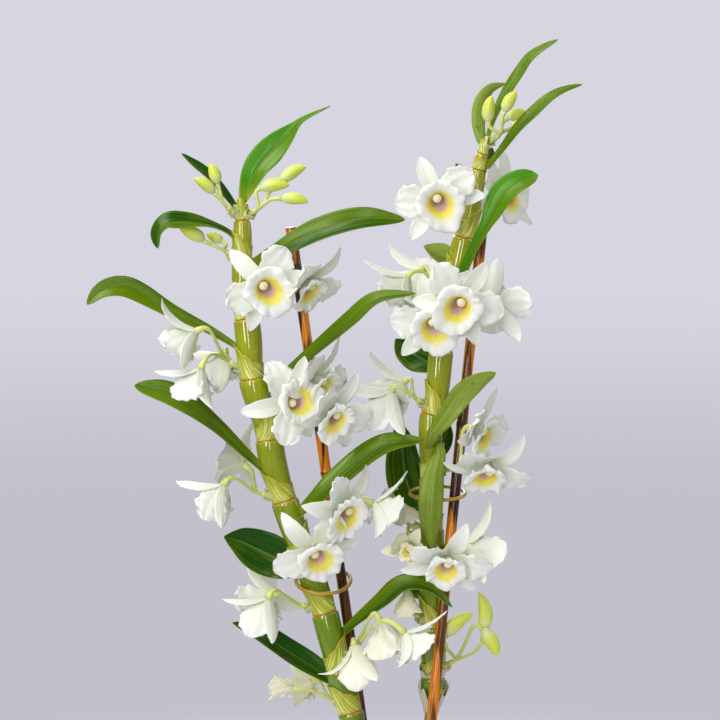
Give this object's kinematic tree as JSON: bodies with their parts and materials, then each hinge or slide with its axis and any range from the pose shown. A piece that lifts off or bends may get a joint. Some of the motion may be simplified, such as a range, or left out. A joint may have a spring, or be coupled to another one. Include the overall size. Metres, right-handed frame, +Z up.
{
  "type": "dendrobium orchid in a pot",
  "caption": "Potted orchid with jointed leafy canes tied to bamboo stakes by rings, carrying sprays of white blooms with yellow throats.",
  "frame": {"origin": "centre of the pot's flat foot, on the surface that it stands on", "axes": "+Z up; -Y towards the viewer in the front view; +X to the viewer's right"},
  "size_m": [0.3442, 0.137, 0.6202],
  "materials": {
    "pot": "satin white glaze",
    "bark": "rough damp bark chips",
    "cane": "glossy ribbed yellow-green skin with pale papery sheaths",
    "stake": "varnished bamboo with dark scorched bands",
    "ring": "glossy golden tan",
    "leaf": "glossy green with a pale midrib",
    "petal": "soft matt white with a yellow throat",
    "bud": "satin yellow-green"
  },
  "bodies": {
    "root": {"pot": "pot", "growing_medium": "bark", "cane_left": "cane", "cane_right": "cane", "stake_left": "stake", "stake_right": "stake", "ring_left": "ring", "ring_right": "ring", "leaf_l1_top": "leaf", "leaf_l2_tall": "leaf", "leaf_l3": "leaf", "leaf_l4": "leaf", "leaf_l5": "leaf", "leaf_l6": "leaf", "leaf_l7": "leaf", "leaf_l8": "leaf", "leaf_l9": "leaf", "leaf_l10": "leaf", "leaf_l11": "leaf", "leaf_r1_tip": "leaf", "leaf_r2": "leaf", "leaf_r3": "leaf", "leaf_r4": "leaf", "leaf_r5": "leaf", "leaf_r6": "leaf", "leaf_r7": "leaf", "leaf_r8": "leaf", "leaf_r9": "leaf", "leaf_r10": "leaf", "leaf_r11": "leaf", "leaf_r12": "leaf", "leaf_r13": "leaf", "leaf_r14": "leaf", "spray_l1_buds_right": "bud", "spray_l2_buds_left": "bud", "spray_l3_buds": "bud", "spray_l4": "petal", "spray_l5": "petal", "spray_l6": "petal", "spray_l7": "petal", "spray_l8": "petal", "spray_l9": "petal", "spray_l10": "petal", "spray_l11": "petal", "spray_r1_buds": "bud", "spray_r2": "petal", "spray_r3": "petal", "spray_r4": "petal", "spray_r5": "petal", "spray_r6": "petal", "spray_r7": "petal", "spray_r8": "petal", "spray_r9": "petal", "spray_r10": "petal", "spray_r11_buds": "bud"}
  },
  "joints": []
}
